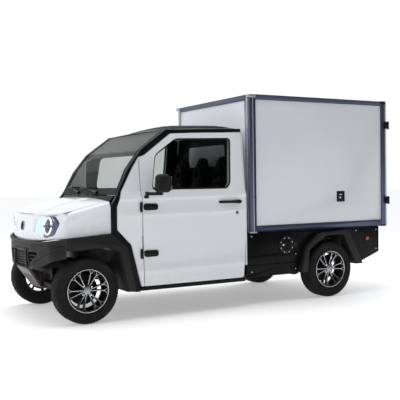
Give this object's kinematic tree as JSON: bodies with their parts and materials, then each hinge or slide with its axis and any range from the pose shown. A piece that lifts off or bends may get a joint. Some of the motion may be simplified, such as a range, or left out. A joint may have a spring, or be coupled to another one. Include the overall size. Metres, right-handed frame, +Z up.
{
  "type": "mail delivery truck",
  "caption": "Small electric delivery truck: three-seat cab with white nose, black lower body and a tall square aluminium-framed cargo box with rear doors.",
  "frame": {"origin": "on the ground, under the centre of the bounding box", "axes": "+X forward, +Y to the truck's left, +Z up"},
  "size_m": [3.5389, 1.7352, 1.8889],
  "materials": {
    "frame_black": "satin",
    "battery_case": "matt",
    "tyre_rubber": "matt",
    "alloy": "machined ribs on black",
    "white_paint": "gloss",
    "white_plastic": "gloss",
    "black_gloss": "gloss",
    "roof_black": "satin",
    "charcoal": "grained",
    "skid_grey": "satin",
    "lamp_shell": "gloss",
    "clear_cover": "clear",
    "lamp_red": "gloss",
    "window_glass": "tinted",
    "anodised": "satin",
    "box_white": "satin",
    "tread_plate": "brushed",
    "seat_cloth": "woven",
    "black_steel": "satin"
  },
  "bodies": {
    "truck": {"chassis_frame": "frame_black", "suspension": "frame_black", "rear_axle": "frame_black", "battery_pack": "battery_case", "cab_tub": "frame_black", "dashboard": "charcoal", "cab_hoops": "black_gloss", "cab_rear_wall": "white_paint", "cab_glazing": "window_glass", "roof_panel": "roof_black", "cowl_panel": "charcoal", "front_clip": "white_plastic", "front_bumper": "charcoal", "bumper_grille": "charcoal", "skid_plate": "skid_grey", "headlight_housings": "lamp_shell", "headlight_lenses": "clear_cover", "wheel_arches": "charcoal", "quarter_panels": "white_plastic", "sills": "black_gloss", "bed_sides": "black_gloss", "box_floor": "tread_plate", "box_panels": "box_white", "box_frame": "anodised", "rear_bumper": "charcoal", "marker_lamps": "lamp_red", "interior_mirror": "charcoal", "seat_cushions": "seat_cloth", "seat_backs": "seat_cloth"},
    "hood": {"hood": "white_paint"},
    "steering": {"steering_wheel": "charcoal"},
    "brake_pedal": {"brake_pedal": "black_steel"},
    "accelerator_pedal": {"accelerator_pedal": "black_steel"},
    "wiper_left": {"wiper_left": "black_steel"},
    "wiper_right": {"wiper_right": "black_steel"},
    "charge_cover": {"charge_cover": "charcoal"},
    "side_latch": {"side_latch": "black_steel"},
    "cargo_door_left": {"cargo_door_left": "box_white"},
    "cargo_door_right": {"cargo_door_right": "box_white"},
    "cargo_lock": {"cargo_lock": "black_steel"},
    "door_left": {"door_shell_left": "white_paint", "door_hinges_left": "black_steel"},
    "window_left": {"door_glass_left": "window_glass"},
    "handle_left": {"door_handle_left": "black_steel"},
    "mirror_left": {"door_mirror_left": "charcoal"},
    "knuckle_left": {"knuckle_left": "frame_black"},
    "wheel_front_left": {"tyre_front_left": "tyre_rubber", "rim_front_left": "alloy"},
    "wheel_rear_left": {"tyre_rear_left": "tyre_rubber", "rim_rear_left": "alloy"},
    "door_right": {"door_shell_right": "white_paint", "door_hinges_right": "black_steel"},
    "window_right": {"door_glass_right": "window_glass"},
    "handle_right": {"door_handle_right": "black_steel"},
    "mirror_right": {"door_mirror_right": "charcoal"},
    "knuckle_right": {"knuckle_right": "frame_black"},
    "wheel_front_right": {"tyre_front_right": "tyre_rubber", "rim_front_right": "alloy"},
    "wheel_rear_right": {"tyre_rear_right": "tyre_rubber", "rim_rear_right": "alloy"}
  },
  "joints": [
    {"name": "door_left_swing", "type": "hinge", "parent": "truck", "child": "door_left", "pos_m": [0.958, 0.697, 0.72], "axis": [0, 0, 1], "range_deg": [-70, 0]},
    {"name": "window_left_drop", "type": "slide", "parent": "door_left", "child": "window_left", "axis": [0, 0.0851, -0.9964], "range_m": [0, 0.29]},
    {"name": "handle_left_pull", "type": "hinge", "parent": "door_left", "child": "handle_left", "pos_m": [0.216, 0.688, 0.94], "axis": [0, 0, 1], "range_deg": [-18, 0], "stiffness_Nm_per_rad": 0.6, "springref_deg": 17.19},
    {"name": "mirror_left_fold", "type": "hinge", "parent": "door_left", "child": "mirror_left", "pos_m": [0.908, 0.7, 1.02], "axis": [0, 0, 1], "range_deg": [-40, 28]},
    {"name": "knuckle_left_steer", "type": "hinge", "parent": "truck", "child": "knuckle_left", "pos_m": [1.415, 0.545, 0.266], "axis": [0, 0, 1], "range_deg": [-28, 28]},
    {"name": "wheel_front_left_spin", "type": "hinge", "parent": "knuckle_left", "child": "wheel_front_left", "pos_m": [1.415, 0.5845, 0.266], "axis": [0, 1, 0], "continuous": true},
    {"name": "wheel_rear_left_spin", "type": "hinge", "parent": "truck", "child": "wheel_rear_left", "pos_m": [-1.04, 0.5845, 0.266], "axis": [0, 1, 0], "continuous": true},
    {"name": "cargo_door_left_swing", "type": "hinge", "parent": "truck", "child": "cargo_door_left", "pos_m": [-1.758, 0.699, 1.27], "axis": [0, 0, 1], "range_deg": [-265, 0]},
    {"name": "door_right_swing", "type": "hinge", "parent": "truck", "child": "door_right", "pos_m": [0.958, -0.697, 0.72], "axis": [0, 0, 1], "range_deg": [0, 70]},
    {"name": "window_right_drop", "type": "slide", "parent": "door_right", "child": "window_right", "axis": [0, -0.0851, -0.9964], "range_m": [0, 0.29]},
    {"name": "handle_right_pull", "type": "hinge", "parent": "door_right", "child": "handle_right", "pos_m": [0.216, -0.688, 0.94], "axis": [0, 0, 1], "range_deg": [0, 18], "stiffness_Nm_per_rad": 0.6, "springref_deg": -17.19},
    {"name": "mirror_right_fold", "type": "hinge", "parent": "door_right", "child": "mirror_right", "pos_m": [0.908, -0.7, 1.02], "axis": [0, 0, 1], "range_deg": [-28, 40]},
    {"name": "knuckle_right_steer", "type": "hinge", "parent": "truck", "child": "knuckle_right", "pos_m": [1.415, -0.545, 0.266], "axis": [0, 0, 1], "range_deg": [-28, 28]},
    {"name": "wheel_front_right_spin", "type": "hinge", "parent": "knuckle_right", "child": "wheel_front_right", "pos_m": [1.415, -0.5845, 0.266], "axis": [0, 1, 0], "continuous": true},
    {"name": "wheel_rear_right_spin", "type": "hinge", "parent": "truck", "child": "wheel_rear_right", "pos_m": [-1.04, -0.5845, 0.266], "axis": [0, 1, 0], "continuous": true},
    {"name": "cargo_door_right_swing", "type": "hinge", "parent": "truck", "child": "cargo_door_right", "pos_m": [-1.758, -0.699, 1.27], "axis": [0, 0, 1], "range_deg": [0, 265]},
    {"name": "cargo_lock_turn", "type": "hinge", "parent": "cargo_door_right", "child": "cargo_lock", "pos_m": [-1.759, -0.07, 1.27], "axis": [0, 0, 1], "range_deg": [-90, 0]},
    {"name": "side_latch_lift", "type": "hinge", "parent": "truck", "child": "side_latch", "pos_m": [-1.1575, 0.671, 0.996], "axis": [1, 0, 0], "range_deg": [0, 40]},
    {"name": "charge_cover_swing", "type": "hinge", "parent": "truck", "child": "charge_cover", "pos_m": [-0.634, 0.651, 0.524], "axis": [0, 0, 1], "range_deg": [0, 100]},
    {"name": "hood_lift", "type": "hinge", "parent": "truck", "child": "hood", "pos_m": [1.2165, 0, 0.99], "axis": [0, 1, 0], "range_deg": [-55, 0]},
    {"name": "wiper_left_sweep", "type": "hinge", "parent": "truck", "child": "wiper_left", "pos_m": [1.158, 0.225, 1.0381], "axis": [0.8899, 0, 0.4562], "range_deg": [-85, 0]},
    {"name": "wiper_right_sweep", "type": "hinge", "parent": "truck", "child": "wiper_right", "pos_m": [1.158, -0.215, 1.0381], "axis": [0.8899, 0, 0.4562], "range_deg": [-85, 0]},
    {"name": "steering_turn", "type": "hinge", "parent": "truck", "child": "steering", "pos_m": [0.7, 0.355, 0.96], "axis": [-0.8, 0, 0.6], "range_deg": [-540, 540]},
    {"name": "brake_pedal_press", "type": "hinge", "parent": "truck", "child": "brake_pedal", "pos_m": [1.034, 0.325, 0.698], "axis": [0, 1, 0], "range_deg": [-18, 0], "stiffness_Nm_per_rad": 6, "springref_deg": 17.19},
    {"name": "accelerator_pedal_press", "type": "hinge", "parent": "truck", "child": "accelerator_pedal", "pos_m": [1.034, 0.215, 0.698], "axis": [0, 1, 0], "range_deg": [-18, 0], "stiffness_Nm_per_rad": 5, "springref_deg": 17.19}
  ],
  "couplings": [
    {"joint": "wiper_right_sweep", "follows": "wiper_left_sweep", "ratio": 1},
    {"joint": "knuckle_left_steer", "follows": "steering_turn", "ratio": 0.0518},
    {"joint": "knuckle_right_steer", "follows": "steering_turn", "ratio": 0.0518}
  ]
}
